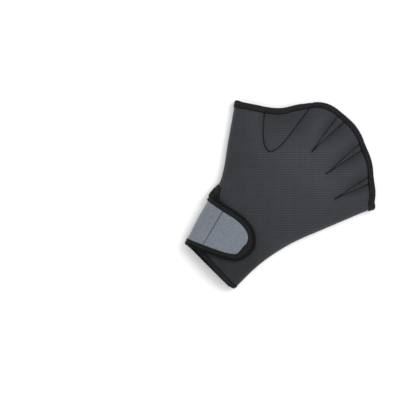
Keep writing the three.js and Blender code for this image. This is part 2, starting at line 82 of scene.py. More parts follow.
# The palm is one panel of 2.5 mm neoprene with a rubbery face. It is cut out where the webs
# are sewn in, and beside the thumb it is open down to the wrist, under the strap.
place = np.array([0.01166, -0.10045, 0])  # middle of the wrist edge in the frame
glove_length = 0.201
half_wrist = 0.0325
thumb_reach = 0.097
thumb_corner = 0.1345
little_reach = 0.0735
little_corner = 0.156
wall = 0.0025
tape_room = 0.0012
hair_gap = 0.0003
edge_radius = 0.004
fold_radius = 0.008
strap_top = 0.0505
strap_middle_top = 0.0475
slit_top = 0.062
slit_inset_top = 0.0008
slit_inset_low = 0.0030
slit_rounding = 0.006
side_share = 0.7  # of the glove's length, about what the thumb side measures

# Each knot is a pair of shares. On the two sides they are of the way up and of the way out,
# on the finger edge of the way across and of the way up, and on the thumb's web of its width
# and of the way down from the finger edge to the wrist.
thumb_side_knots = np.array([(0, 0), (.193, .136), (.357, .222), (.48, .272), (.595, .403),
                             (.773, .671), (1, 1)])
little_side_knots = np.array([(0, 0), (.19, .005), (.34, .078), (.498, .234), (.676, .5),
                              (.872, .8), (1, 1)])
finger_edge_knots = np.array([(0, 0), (.1, .17), (.205, .38), (.276, .65), (.37, .907),
                              (.504, 1), (.639, .95), (.768, .756), (.88, .476), (.956, .222),
                              (1, 0)])
openings = np.array([.136, .136, .127, .129, .119])
web_widths = np.array([.233, .047, .035, .038])
slim_web_depths = np.array([.249, .246, .213])
slim_web_leans = np.array([.002, .007, .0075])
thumb_web_knots = np.array([(0, 0), (.09, .093), (.19, .174), (.33, .242), (.5, .288),
                            (.65, .306), (.78, .290), (.875, .247), (.94, .174), (.975, .09),
                            (1, 0)])


def clamp(s):
    """s held between 0 and 1"""
    return np.clip(s, 0, 1)


def smooth(s):
    """S-shaped step: three squares less two cubes of s between 0 and 1"""
    return clamp(s)**2*(3 - 2*clamp(s))


def mix(low, high, s):
    """Blend from low at s = 0 to high at s = 1"""
    return low + (high - low)*s


def round_up(s):
    """Quarter circle: upright at s = 0 and level from s = 1 on"""
    return np.sqrt(1 - (1 - clamp(s))**2)


def ease_up(s):
    """Parabola that rises from 0 and is level from s = 1 on"""
    return 1 - (1 - clamp(s))**2


def bell(s):
    """Bell curve: 1 at s = 0 and about a third at s = 1"""
    return np.exp(-np.square(s))


def unit(vectors):
    """Each vector divided by its own length"""
    return vectors/np.maximum(np.linalg.norm(vectors, axis=-1, keepdims=True), 1e-12)


def run_along(line):
    """Distance from the first point of a line to each of its points, measured along it"""
    return np.append(0, np.linalg.norm(np.diff(line, axis=0), axis=1).cumsum())


def left_of(line):
    """Way to the left of a line in plan, at each of its points"""
    return unit(np.gradient(line, axis=0))@np.array([[0., 1.], [-1., 0.]])


def curve_through(knots):
    """Curve through the knots, a cubic on each span that leaves a knot along the line between
    its two neighbours. Returns a function that gives the place at a share of its length."""
    ends = np.concatenate([knots[:1], knots, knots[-1:]])
    t = np.linspace(0, len(knots) - 1, 2401)
    span = np.minimum(t.astype(int), len(knots) - 2)
    w = (t - span)[:, None]
    before, start, end, after = (ends[span + k] for k in range(4))
    leave = (end - before)/2
    arrive = (after - start)/2
    places = (start + leave*w + (3*(end - start) - 2*leave - arrive)*w**2
              + (2*(start - end) + leave + arrive)*w**3)
    length = run_along(places)
    return lambda share: np.stack(
        [np.interp(share, length/length[-1], column) for column in places.T], axis=-1)


def patch_between(left, right, bottom, top):
    """Surface between four curves: the blend across plus the blend along, less the blend of the
    four corners. Left and right run with v, bottom and top with u."""
    def at(u, v):
        u, v = np.broadcast_arrays(u, v)
        across, along = u[..., None], v[..., None]
        corners = mix(mix(left(0.), right(0.), across), mix(left(1.), right(1.), across), along)
        return mix(left(v), right(v), across) + mix(bottom(u), top(u), along) - corners
    return at


def nearest_on(line, p):
    """Nearest place on a line of straight pieces to each point, and how far it is"""
    start, step = line[:-1], np.diff(line, axis=0)
    share = clamp(((p[..., None, :] - start)*step).sum(-1)/(step**2).sum(-1))
    places = start + share[..., None]*step
    away = np.linalg.norm(p[..., None, :] - places, axis=-1)
    best = away.argmin(-1)
    return np.take_along_axis(places, best[..., None, None], -2)[..., 0, :], away.min(-1)


def inside(outline, p):
    """True where a ray from the point towards +X crosses the outline an odd number of times"""
    a, b = outline, np.roll(outline, -1, axis=0)
    x, y = p[..., None, 0], p[..., None, 1]
    rise = np.where(a[:, 1] == b[:, 1], 1, b[:, 1] - a[:, 1])
    crosses = ((a[:, 1] > y) != (b[:, 1] > y)) & (
        x < a[:, 0] + (b[:, 0] - a[:, 0])*(y - a[:, 1])/rise)
    return crosses.sum(-1) % 2 == 1


def scaled(knots, x_low, x_high, y_low, y_high):
    """Knots given in shares, placed between the named sizes"""
    return np.stack([mix(x_low, x_high, knots[:, 0]), mix(y_low, y_high, knots[:, 1])], axis=1)


def bulging(curve, spot, push, reach):
    """Curve pushed aside near a spot, by a bell of the distance from it"""
    def at(share):
        p = curve(share)
        return p + np.multiply(push, bell(np.linalg.norm(p - spot, axis=-1)/reach)[..., None])
    return at


corner_reach = 0.0032


def rounded(curve, pulls):
    """Curve with its two ends moved a little, so that the corners there are round"""
    corners = curve(np.array([0., 1.]))
    first = bulging(curve, corners[0], pulls[0], corner_reach)
    return bulging(first, corners[1], pulls[1], corner_reach)


thumb_wrist_pull, little_wrist_pull = (0.0006, -0.0008), (-0.0012, 0.0014)
thumb_finger_pull, little_finger_pull = (0.0000, 0.0003), (0.0011, 0.0010)
slit_spot, slit_push, slit_reach = (-0.0468, 0.0565), (-0.0018, -0.0008), 0.0062
thumb_side = bulging(rounded(curve_through(
    scaled(thumb_side_knots[:, ::-1], -half_wrist, -thumb_reach, 0, thumb_corner)),
    (thumb_wrist_pull, thumb_finger_pull)), slit_spot, slit_push, slit_reach)
little_side = rounded(curve_through(
    scaled(little_side_knots[:, ::-1], half_wrist, little_reach, 0, little_corner)),
    (little_wrist_pull, little_finger_pull))
nearer_corner = np.where(np.arange(len(finger_edge_knots)) <= finger_edge_knots[:, 1].argmax(),
                         thumb_corner, little_corner)
finger_edge = rounded(curve_through(
    scaled(finger_edge_knots, -thumb_reach, little_reach, nearer_corner, glove_length)),
    (thumb_finger_pull, little_finger_pull))
wrist_edge = rounded(curve_through(np.array([(-half_wrist, 0.), (half_wrist, 0.)])),
                     (thumb_wrist_pull, little_wrist_pull))
plan_at = patch_between(thumb_side, little_side, wrist_edge, finger_edge)
thumb_side_line = thumb_side(np.linspace(0, 1, 61))
little_side_line = little_side(np.linspace(0, 1, 61))
finger_edge_line = finger_edge(np.linspace(0, 1, 91))

# Seams of the four webs in plan, from the thumb to the little finger
edge_total = openings.sum() + web_widths.sum()
web_starts = (np.cumsum(openings[:4]) + np.append(0, np.cumsum(web_widths[:3])))/edge_total
web_ends = web_starts + web_widths/edge_total
thumb_seam = curve_through(plan_at(
    mix(web_starts[0], web_ends[0], thumb_web_knots[:, 0]),
    1 - thumb_web_knots[:, 1]))(np.linspace(0, 1, 61))
web_seams = [thumb_seam]
for start, end, depth, lean in zip(web_starts[1:], web_ends[1:], slim_web_depths,
                                   slim_web_leans):
    middle = (start + end)/2
    down = plan_at(middle, 1.) - plan_at(middle, 0.)
    tip = plan_at(middle, 1 - depth*glove_length/np.hypot(*down)) - (lean*glove_length, 0)
    web_seams.append(np.array([plan_at(start, 1.), tip, plan_at(end, 1.)]))
overhang = 0.0036
web_outlines = []
for seam in web_seams:
    first = (seam[0] - seam[1])/np.hypot(*(seam[0] - seam[1]))
    last = (seam[-1] - seam[-2])/np.hypot(*(seam[-1] - seam[-2]))
    web_outlines.append(np.vstack([seam[0] + overhang*first, seam, seam[-1] + overhang*last]))
web_reaches = (0.018, 0.0145, 0.0145, 0.0145)
web_tips = [seam[len(seam)//2] for seam in web_seams]
web_ways = [((seam[0] + seam[-1])/2 - tip)/np.hypot(*((seam[0] + seam[-1])/2 - tip))
            for seam, tip in zip(web_seams, web_tips)]
tip_depth, tip_run = 0.35, 0.030
rim_flat, rim_run = 0.0055, 0.011


def openness(p):
    """Product over the webs of a parabola of the distance to the web: 0 on a web, and 1 along
    the middle of a finger channel and over the palm. A web is shallower towards its tip."""
    share = np.ones(p.shape[:-1])
    for outline, reach, tip, way in zip(web_outlines, web_reaches, web_tips, web_ways):
        level = np.where(inside(outline, p), 0, ease_up(nearest_on(outline, p)[1]/reach))
        deep = mix(tip_depth, 1, smooth(((p - tip)*way).sum(-1)/tip_run))
        share = share*(1 - deep*(1 - level))
    return share


def rim(away):
    """Share of the lift beside a taped edge: 1 on the flat part, then a smooth step to 0"""
    return smooth(1 - (away - rim_flat)/rim_run)


def creases(p):
    """Soft hand-made unevenness of the cloth: four slow waves across each other"""
    x, y = p[..., 0], p[..., 1]
    return (0.00042*np.sin(118*x + 61*y + 1.3*np.sin(37*y))
            + 0.00034*np.sin(-74*x + 152*y + 0.8 + np.sin(51*x))
            + 0.00020*np.sin(233*x - 127*y + 2.1)
            + 0.00012*np.sin(310*x + 301*y + 1.7*np.sin(90*x)))


seam_height = edge_radius + wall/2 + hair_gap/2
crown_wrist, crown_palm, crown_fingers, crown_reach = 0.005, 0.0085, 0.0065, 0.022
crown_rise, crown_fall = 0.45*glove_length, 0.3*glove_length
crease_run = 0.012


def palm_height(p, thumb_side_least=0.):
    """Middle of the palm's cloth: a quarter circle up from the side seams, plus a crown that is
    highest over the palm, and nearly flat on the webs"""
    side = np.minimum(np.maximum(nearest_on(thumb_side_line, p)[1], thumb_side_least),
                      nearest_on(little_side_line, p)[1])
    fingers = nearest_on(finger_edge_line, p)[1]
    crown = (mix(crown_wrist, crown_palm, smooth(p[..., 1]/crown_rise))
             - (crown_palm - crown_fingers)*smooth(1 - fingers/crown_fall))
    raised = edge_radius*round_up(side/edge_radius) + crown*ease_up(side/crown_reach)
    webbed = (wall/2 + tape_room*rim(fingers))*round_up(side/edge_radius)
    uneven = creases(p)*ease_up((side - thumb_side_least)/crease_run)
    share = openness(p)
    return seam_height + hair_gap/2 + mix(webbed, raised + uneven, share)


def curled(radius, count):
    """Distances from a side seam at even turns of the quarter circle there: the radius less
    its cosine"""
    return radius*(1 - np.cos(np.linspace(0, math.pi/2, count)))


def share_at(y):
    """Share of the thumb side's length at a height above the wrist edge, read off between
    close places along it"""
    shares = np.linspace(0, 1, 2001)
    return np.interp(y, thumb_side(shares)[:, 1], shares)


def width_at(v):
    """Width of the glove at a share of its height: the distance between its two sides"""
    return np.linalg.norm(plan_at(1., v) - plan_at(0., v), axis=-1)


side_steps = np.append(curled(edge_radius, 7), (0.0052, 0.0064))
column_count, strap_row_count, slit_row_count, finger_row_count = 164, 44, 15, 126
middle_columns = np.linspace(0, 1, column_count)[1:-1]
strap_top_share, slit_top_share = share_at(strap_top), share_at(slit_top)
panel_rows = np.concatenate([
    np.linspace(0, strap_top_share, strap_row_count),
    np.linspace(strap_top_share, slit_top_share, slit_row_count)[1:],
    np.linspace(slit_top_share, 1, finger_row_count)[1:]])


def panel_grid(inset):
    """Shares u and v of a panel's nodes: columns crowd at the side seams, and the thumb-side
    edge is moved in by the inset of each row"""
    v = panel_rows[:, None]
    width = width_at(v)
    start = inset[:, None]/width
    near = side_steps/width
    middle = mix(start + near[:, -1:], 1 - near[:, -1:], middle_columns)
    u = np.hstack([start + near, middle, 1 - near[:, ::-1]])
    return u, np.broadcast_to(v, u.shape)


def slit_inset(v):
    """Palm's open edge beside the thumb: a straight slant inwards from the top of the slit
    down, times a quarter circle that rounds the top"""
    below = (slit_top_share - v)*glove_length*side_share
    slant = clamp((slit_top_share - v)/(slit_top_share - strap_top_share))
    inset = mix(slit_inset_top, slit_inset_low, slant)*round_up(below/slit_rounding)
    return np.where(v < slit_top_share, inset, 0)


def sewn_apart(p):
    """Triangles of a grid in plan, cut along the web seams. Nodes near a seam move onto it, and
    each cell is split along the diagonal that follows the seam. Returns the moved nodes, the
    triangles, the web that each one is in (-1 for the panel) and the nodes' seam distances."""
    snap = 0.00082
    p = p.copy()
    on_seam = np.zeros(p.shape[:-1], bool)
    for seam in web_outlines:
        place_on, away = nearest_on(seam, p)
        near = (away < snap) & ~on_seam
        p[near] = place_on[near]
        on_seam |= near
    ids = np.arange(p[..., 0].size).reshape(p.shape[:-1])
    a, b = ids[:-1, :-1].ravel(), ids[:-1, 1:].ravel()
    c, d = ids[1:, 1:].ravel(), ids[1:, :-1].ravel()
    seam_node = on_seam.ravel()
    other = seam_node[b] & seam_node[d] & ~(seam_node[a] & seam_node[c])
    first = np.where(other[:, None], np.stack([a, b, d], 1), np.stack([a, b, c], 1))
    second = np.where(other[:, None], np.stack([b, c, d], 1), np.stack([a, c, d], 1))
    triangles = np.concatenate([first, second])
    flat = p.reshape(-1, 2)
    centre = flat[triangles].mean(1)
    web = np.full(len(triangles), -1)
    for k, outline in enumerate(web_outlines):
        web[inside(outline, centre)] = k
    distance = np.min([nearest_on(outline, flat)[1] for outline in web_outlines], axis=0)
    return flat, triangles, web, np.where(seam_node, 0, distance)


def part_of(flat, triangles, distance, apart=0.00010):
    """One piece of a cut grid: its own nodes and triangles, with the nodes on a seam moved a
    hair into the piece, towards the middles of their triangles"""
    used, own = np.unique(triangles, return_inverse=True)
    own = own.reshape(-1, 3)
    p = flat[used].copy()
    centre = p[own].mean(1)
    count = np.maximum(np.bincount(own.ravel(), minlength=len(p)), 1)
    towards = np.stack([np.bincount(own.ravel(), np.repeat(centre[:, k], 3), len(p))/count
                        for k in (0, 1)], 1) - p
    length = np.maximum(np.linalg.norm(towards, axis=1, keepdims=True), 1e-9)
    edge = distance[used] == 0
    p[edge] += (apart*towards/length)[edge]
    return p, own, distance[used]


def new_piece(name, points, faces, material, uv=None):
    """Mesh object of one piece, smooth shaded, from points in plan sizes and its faces. The
    points are moved to the frame, so that the object itself stays at the origin."""
    mesh = bpy.data.meshes.new(name)
    mesh.from_pydata((points.reshape(-1, 3) + place).tolist(), [], faces)
    mesh.polygons.foreach_set("use_smooth", np.ones(len(mesh.polygons), bool))
    if uv is not None:
        loops = np.empty(len(mesh.loops), np.int32)
        mesh.loops.foreach_get("vertex_index", loops)
        layer = mesh.uv_layers.new(name="along")
        layer.data.foreach_set("uv", np.asarray(uv, np.float32).reshape(-1, 2)[loops].ravel())
    mesh.materials.append(material)
    mesh.update()
    piece = bpy.data.objects.new(name, mesh)
    bpy.context.collection.objects.link(piece)
    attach(piece, "root")
    return piece


def thicken(piece, thickness):
    """Gives a sheet its wall, half on each side"""
    wall_maker = piece.modifiers.new("wall", "SOLIDIFY")
    wall_maker.thickness = thickness
    wall_maker.offset = 0
    return piece


class Wire:
    """A socket of a material's nodes that works in sums as a number does"""

    def __init__(self, tree, socket):
        self.tree = tree
        self.socket = socket

    def node(self, kind, settings, inputs, output=0):
        """Makes any node: first its settings, then its sockets, which take numbers or wires"""
        made = self.tree.nodes.new(kind)
        for name, value in settings.items():
            setattr(made, name, value)
        for name, value in inputs.items():
            if isinstance(value, Wire):
                self.tree.links.new(value.socket, made.inputs[name])
            else:
                made.inputs[name].default_value = value
        return Wire(self.tree, made.outputs[output])

    def math(self, operation, *values):
        """Result of a Math node"""
        return self.node("ShaderNodeMath", {"operation": operation}, dict(enumerate(values)))

    def __add__(self, other):
        """This value plus another"""
        return self.math("ADD", self, other)

    def __radd__(self, other):
        """Another value plus this"""
        return self.math("ADD", other, self)

    def __sub__(self, other):
        """This value less another"""
        return self.math("SUBTRACT", self, other)

    def __rsub__(self, other):
        """Another value less this"""
        return self.math("SUBTRACT", other, self)

    def __mul__(self, other):
        """This value times another"""
        return self.math("MULTIPLY", self, other)

    def __rmul__(self, other):
        """Another value times this"""
        return self.math("MULTIPLY", other, self)

    def step(self, low, high):
        """Smooth step of this value from 0 at low to 1 at high"""
        return self.node("ShaderNodeMapRange", {"interpolation_type": "SMOOTHSTEP"},
                         {0: self, 1: low, 2: high, 3: 0., 4: 1.})

    def noise(self, scale, detail=2., rough=0.5):
        """Noise at this place, with the number of its grains to a metre"""
        return self.node("ShaderNodeTexNoise", {},
                         {"Vector": self, "Scale": scale, "Detail": detail, "Roughness": rough})

    def part(self, axis):
        """One coordinate of this place"""
        return self.node("ShaderNodeSeparateXYZ", {}, {0: self}, axis)

    def away_from(self, spot):
        """Distance of this place to a spot"""
        return self.node("ShaderNodeVectorMath", {"operation": "DISTANCE"}, {0: self, 1: spot}, 1)

    def blend(self, low, high):
        """Colour between two others at this share"""
        return self.node("ShaderNodeMix", {"data_type": "RGBA"},
                         {"Factor": self, 6: low, 7: high}, 2)


def new_material(name, roughness, sheen=0., sheen_roughness=0.5, specular=0.3):
    """Bare cloth material with its uniform values set, the place on the piece, its own map and
    its shader"""
    material = bpy.data.materials.new(name)
    material.use_nodes = True
    tree = material.node_tree
    shader = tree.nodes["Principled BSDF"]
    shader.inputs["Roughness"].default_value = roughness
    shader.inputs["Sheen Weight"].default_value = sheen
    shader.inputs["Sheen Roughness"].default_value = sheen_roughness
    shader.inputs["Specular IOR Level"].default_value = specular
    coordinates = tree.nodes.new("ShaderNodeTexCoord")
    return (material, Wire(tree, coordinates.outputs["Object"]),
            Wire(tree, coordinates.outputs["UV"]), shader)


def finish_material(shader, colour, roughness=None, height=None, depth=0.0002):
    """Puts the colour, roughness and relief that change over a surface on its shader"""
    tree = colour.tree
    tree.links.new(colour.socket, shader.inputs["Base Color"])
    if roughness is not None:
        tree.links.new(roughness.socket, shader.inputs["Roughness"])
    if height is not None:
        bump = height.node("ShaderNodeBump", {}, {"Strength": 1., "Distance": depth,
                                                 "Height": height})
        tree.links.new(bump.socket, shader.inputs["Normal"])


# Palm face: dark grey, with a lattice of small pits, made of two waves at 45 degrees to the
# glove, with a pitch of 2.4 mm, and one across it, and a fine rubbery grain. It has a painted
# highlight in the middle, a painted shadow of the strap at the heel, and painted shade beside the
# thumb.
palm_material, at, _, palm_shader = new_material("palm_neoprene", 0.62, 0.06, 0.4, 0.25)
pit_pitch = 0.00243
pit_turns = 2*math.pi/pit_pitch/math.sqrt(2)
pit_rows = at.math("COSINE", (at.part(0) + at.part(1))*pit_turns)
pit_columns = at.math("COSINE", (at.part(1) - at.part(0))*pit_turns)
ribs = at.math("COSINE", at.part(0)*(2*pit_turns))
lattice = pit_columns*0.34 + pit_rows*0.17 + ribs*0.76
pits = lattice.step(-0.75, 1.0)
grain = at.noise(1500., 3., 0.6)
patches = at.noise(26., 3., 0.55)
dusk = at.noise(160., 2.)
# Painted highlight: the palm is painted lighter towards its middle, in a narrow and a broad spot
off_middle = at.away_from((0.012, 0.045, 0.012))
middle_highlight = 1 - off_middle.step(0., 0.072)
broad_highlight = 1 - off_middle.step(0.085, 0.160)
# Painted shadow of the strap on the palm at the heel, and painted shade beside the thumb
heel_shadow = 1 - at.away_from((0.030, -0.074, 0.012)).step(0.010, 0.052)
thumb_shade = 1 - at.away_from((-0.038, 0.052, 0.009)).step(0.006, 0.030)
lightness = (0.34 + middle_highlight*0.38 + broad_highlight*0.34 - heel_shadow*0.22 - thumb_shade*0.15
             + (patches - 0.5)*0.35 + (dusk - 0.5)*0.2)
face = lightness.blend((0.0080, 0.0090, 0.0105, 1), (0.0420, 0.0472, 0.0540, 1))
palm_colour = (pits*0.9).blend(face, (0.0070, 0.0075, 0.0090, 1))
finish_material(palm_shader, palm_colour, 0.56 + grain*0.2 + pits*0.1,
                grain*0.14 - pits*0.9, 0.00028)

palm_u, palm_v = panel_grid(slit_inset(panel_rows))
palm_nodes, palm_triangles, palm_web, palm_seam_distance = sewn_apart(plan_at(palm_u, palm_v))
groove_depth, groove_reach = 0.0006, 0.0008


def groove(distance):
    """Dip of the cloth towards a sewn seam, by a bell of the distance from it"""
    return -groove_depth*bell(distance/groove_reach)


def panel_piece(name, flat, triangles, distance, height, material, face=1):
    """Sheet of one panel or web, with a dip along its seams and a wall of 2.5 mm. The face is
    1 for the palm, whose outer face is up, and -1 for the back."""
    p, faces, away = part_of(flat, triangles, distance)
    points = np.column_stack([p, height(p) + face*groove(away)])
    return thicken(new_piece(name, points, faces.tolist(), material), wall)


palm_panel = panel_piece("palm", palm_nodes, palm_triangles[palm_web < 0], palm_seam_distance,
                         palm_height, palm_material)
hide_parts("palm_panel")

# The palm's four webs are pieces of the same neoprene, sewn edge to edge into the panel: a
# wide round one beside the thumb and three slim ones that taper to a point.
web_names = ("thumb", "index", "middle", "ring")
for k, name in enumerate(web_names):
    web = panel_piece(f"{name}_web_of_palm", palm_nodes, palm_triangles[palm_web == k],
                      palm_seam_distance, palm_height, palm_material)
    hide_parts(f"{name}_web_palm")

# The back of the hand is one panel of plain jersey-faced neoprene. At the wrist it goes on
# round the fold on the thumb side, over the palm, and ends at the strap's seam.
strap_length = 0.0605
strap_tilt = math.radians(15)
seam_low, seam_high = 0.0146, 0.0162
patch_thickness = 0.0024
strap_knots = np.array([(.22, -.92), (.5, -.8), (.72, -.68), (.9, -.46), (1, .1), (.9, .62),
                        (.72, .9), (.5, 1.02), (.22, 1.05)])
tip_start, tip_end = 0.4, 0.58
fold_ends = thumb_side(np.array([0, strap_middle_top/strap_top*strap_top_share]))
fold_half = np.hypot(*(fold_ends[1] - fold_ends[0]))/2
strap_axes = np.array([[math.cos(strap_tilt), math.sin(strap_tilt)],
                       [-math.sin(strap_tilt), math.cos(strap_tilt)]])
strap_outline = curve_through(np.vstack([
    fold_ends[0],
    (strap_knots*(strap_length, fold_half))@strap_axes + fold_ends.mean(0),
    thumb_side(strap_top_share)]))
strap_plan = patch_between(
    lambda v: thumb_side(v*strap_top_share),
    lambda v: strap_outline(mix(tip_start, tip_end, v)),
    lambda u: strap_outline(u*tip_start),
    lambda u: strap_outline(mix(1, tip_end, u)))
strap_outline_line = strap_outline(np.linspace(0.02, 0.98, 121))
wide_fold_top = slit_top - 0.004
press_depth, press_reach, press_run = 0.0012, 0.006, 0.02
curl_columns = 10


def fold_share(y):
    """Smooth step of the height: 1 beside the strap, where the fold is wide, and 0 from near
    the top of the slit on"""
    return smooth((wide_fold_top - y)/(wide_fold_top - strap_top))


def back_height(p):
    """Middle of the back's cloth: flat on the table, up in a quarter circle at the sides, lifted
    beside its tapes, and raised to the palm's webs on the webs"""
    radius = mix(edge_radius, fold_radius, fold_share(p[..., 1]))
    thumb_away = nearest_on(thumb_side_line, p)[1]
    little_away = nearest_on(little_side_line, p)[1]
    thumb_round = round_up(thumb_away/radius)
    little_round = round_up(little_away/edge_radius)
    edges = radius*(1 - thumb_round) + edge_radius*(1 - little_round)
    fingers = nearest_on(finger_edge_line, p)[1]
    slit = np.hypot(thumb_away, np.maximum(np.abs(p[..., 1] - (strap_top + slit_top)/2)
                                           - (slit_top - strap_top)/2, 0))
    taped = rim(np.minimum(np.minimum(fingers, p[..., 1]), slit))
    lift = mix(edge_radius - wall/2 - tape_room*rim(fingers),
               (tape_room + hair_gap)*taped, openness(p))
    return wall/2 + edges + lift*(thumb_round*little_round)**2


def strap_height(p, above=wall + patch_thickness + 2*hair_gap):
    """Middle of the strap's cloth: up from the fold in a quarter ellipse, then level with the
    palm and above it, pressed down a little towards its own edge"""
    level = palm_height(p, fold_radius) + above
    pressed = press_depth*bell(nearest_on(strap_outline_line, p)[1]/press_reach)
    away = nearest_on(thumb_side_line, p)[1]
    return mix(fold_radius + wall/2, level - pressed*smooth(away/press_run),
               round_up(away/fold_radius))


def seam_reach(v):
    """Distance of the strap's seam from the fold: a straight blend, longer at the upper edge"""
    return mix(seam_low, seam_high, v)


def wrapped_grid():
    """Nodes of the back panel's grid with the columns that go on round the fold. The wrap has
    nodes up to the strap's upper edge, and none above it."""
    u, v = panel_grid(np.zeros(len(panel_rows)))
    row_v = np.minimum(panel_rows/strap_top_share, 1)[:, None]
    curl = np.broadcast_to(curled(fold_radius, curl_columns), (len(panel_rows), curl_columns))
    level = mix(fold_radius, seam_reach(row_v), np.linspace(0, 1, 9)[1:])
    wrap_u = np.hstack([curl, level])[:, :0:-1]/strap_length
    return u, v, wrap_u, np.broadcast_to(row_v, wrap_u.shape)


# Back face: mid grey jersey, mottled by the yarn
back_material, at, _, back_shader = new_material("back_neoprene", 0.85, 0.25, 0.5, 0.2)
yarn = at.noise(1100., 2., 0.7)
mottle = at.noise(560., 3., 0.65)
broad = at.noise(30., 2.)
wale_pitch, course_pitch = 0.0011, 0.0008
wales = at.math("SINE", (at.part(0)*0.9 + at.part(1)*0.2)*(2*math.pi/wale_pitch))
courses = at.math("SINE", (at.part(1)*0.9 - at.part(0)*0.2)*(2*math.pi/course_pitch))
jersey = (yarn*0.4 + mottle*0.5 + broad*0.1).step(0.34, 0.66).blend(
    (0.112, 0.126, 0.149, 1), (0.172, 0.192, 0.226, 1))
finish_material(back_shader, jersey, 0.8 + yarn*0.15, yarn*0.6 + wales*courses*0.25, 0.00016)

back_u, back_v, wrap_u, wrap_v = wrapped_grid()
back_nodes, back_triangles, back_web, back_seam_distance = sewn_apart(plan_at(back_u, back_v))
back_p, back_faces, back_away = part_of(back_nodes, back_triangles[back_web < 0],
                                        back_seam_distance)
main_points = np.column_stack([back_p, back_height(back_p) - groove(back_away)])
wrap_rows = int((panel_rows <= strap_top_share + 1e-9).sum())
wrap_plan = strap_plan(wrap_u[:wrap_rows], wrap_v[:wrap_rows])
wrap_points = np.concatenate([wrap_plan, strap_height(wrap_plan)[..., None]], axis=-1)
wrap_ids = len(main_points) + np.arange(wrap_points[..., 0].size).reshape(wrap_rows, -1)
edge_nodes = np.arange(wrap_rows)*back_u.shape[1]
used_nodes = np.unique(back_triangles[back_web < 0])
edge_ids = np.searchsorted(used_nodes, edge_nodes)
wrap_ids = np.hstack([wrap_ids, edge_ids[:, None]])


def cells_of(ids):
    """Two triangles for each cell of a grid of node numbers"""
    a, b, c, d = ids[:-1, :-1], ids[:-1, 1:], ids[1:, 1:], ids[1:, :-1]
    return np.concatenate([np.stack([a, b, c], -1).reshape(-1, 3),
                           np.stack([a, c, d], -1).reshape(-1, 3)])


def grid_piece(name, plan, height, material, thickness):
    """Sheet over a grid of places in plan, at the given heights, with its wall"""
    points = np.concatenate([plan, height[..., None]], axis=-1)
    cells = cells_of(np.arange(height.size).reshape(height.shape))
    return thicken(new_piece(name, points, cells.tolist(), material), thickness)


back_panel = thicken(new_piece(
    "back", np.vstack([main_points, wrap_points.reshape(-1, 3)]),
    np.vstack([back_faces, cells_of(wrap_ids)]).tolist(), back_material), wall)
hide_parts("back_panel")
for k, name in enumerate(web_names):
    web = panel_piece(f"{name}_web_of_back", back_nodes, back_triangles[back_web == k],
                      back_seam_distance, back_height, back_material, -1)
    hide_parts(f"{name}_web_back")

# The strap's tab is a separate tongue of the back's neoprene, sewn to the wrapped end and
# pressed onto the palm over the closed fastener.
tab_rows = np.linspace(0, 1, 52)[:, None]
tab_start = 0.0015  # share of the strap's length past the seam
tab_columns = mix(seam_reach(tab_rows)/strap_length + tab_start, 1,
                  ease_up(np.linspace(0, 1, 44)))
tab_plan = strap_plan(tab_columns, tab_rows)
dip_depth, dip_reach = 0.0003, 0.0007
tab_dip = -dip_depth*bell((tab_columns*strap_length - seam_reach(tab_rows))/dip_reach)
strap_tab = grid_piece("strap_tongue", tab_plan, strap_height(tab_plan) + tab_dip,
                       back_material, wall)
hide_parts("strap_tab")

# The fastener is a rectangle of hook tape under the tongue, closed on the loops of a patch
# that is sewn to the palm.
hook_material, at, _, hook_shader = new_material("hook_and_loop", 0.9, 0.4, 0.6, 0.2)
fuzz = at.noise(2600., 2., 0.8)
finish_material(hook_shader, fuzz.step(0.3, 0.8).blend((0.004, 0.004, 0.004, 1),
                                                       (0.016, 0.016, 0.017, 1)),
                None, fuzz, 0.0006)
patch_columns = np.linspace(0.4, 0.7, 26)
patch_rows = np.linspace(0.24, 0.77, 28)[:, None]
patch_plan = strap_plan(patch_columns, patch_rows)
patch_height = strap_height(patch_plan, (wall + patch_thickness)/2 + hair_gap)
hook_patch = grid_piece("fastener", patch_plan, patch_height, hook_material, patch_thickness)
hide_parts("hook_patch")

# One folded stretch tape goes round the finger edge of both panels. It is wrapped over the
# cut edges and stitched through in a zigzag.
tape_material, at, along, tape_shader = new_material("binding_tape", 0.75, 0.02, 0.35, 0.10)
along_tape = along.part(0)
across_tape = along.part(1)
knit_pitch, knit_rows = 0.00075, 7
knit = (along.math("SINE", along_tape*(2*math.pi/knit_pitch))
        * along.math("SINE", across_tape*(2*math.pi*knit_rows)))
lint = along.node("ShaderNodeVectorMath", {"operation": "MULTIPLY"},
                  {0: along, 1: (1., 0.006, 1.)}).noise(900., 3., 0.6)
from_row = across_tape - 0.5
# Painted shade in the groove along the stitch row and at the inner edge, where the tape dips onto
# the panel, and a painted highlight on the rolled ridge beside its outer edge
stitch_groove_shade = 1 - along.math("ABSOLUTE", from_row).step(0.04, 0.16)
inner_edge_shade = across_tape.step(0.84, 1.)
ridge_highlight = across_tape.step(0.02, 0.16)*(1 - across_tape.step(0.26, 0.44))
# Painted shade on the outer half of the tape near the strap, where its edge stands over the palm
# in shadow
strap_edge_shade = 1 - at.away_from((-0.0018, -0.0672, 0.018)).step(0.033, 0.041)
outer_half = 1 - across_tape.step(0.05, 0.6)
shade = (0.36 + lint*0.26 + knit*0.05 + ridge_highlight*0.26 - stitch_groove_shade*0.32 - inner_edge_shade*0.36
         - strap_edge_shade*outer_half*0.6)
finish_material(tape_shader, shade.step(0.1, 0.85).blend(
    (0.0022, 0.0023, 0.0027, 1), (0.0150, 0.0158, 0.0178, 1)),
    0.65 + lint*0.2, knit*0.5 + lint*0.4, 0.00012)
finger_tape_width = 0.0052
slim_tape_width = 0.0041
strap_tape_width = 0.0052
slit_tape_width = 0.0050
tape_spacing = 0.0008
finger_blur, cuff_blur = 0.0012, 0.0016
nose_length, turned_in, tucked = 0.0014, 0.0002, 0.00006
pucker_height, puckered_from = 0.00013, 0.0005
tape_steps = 13
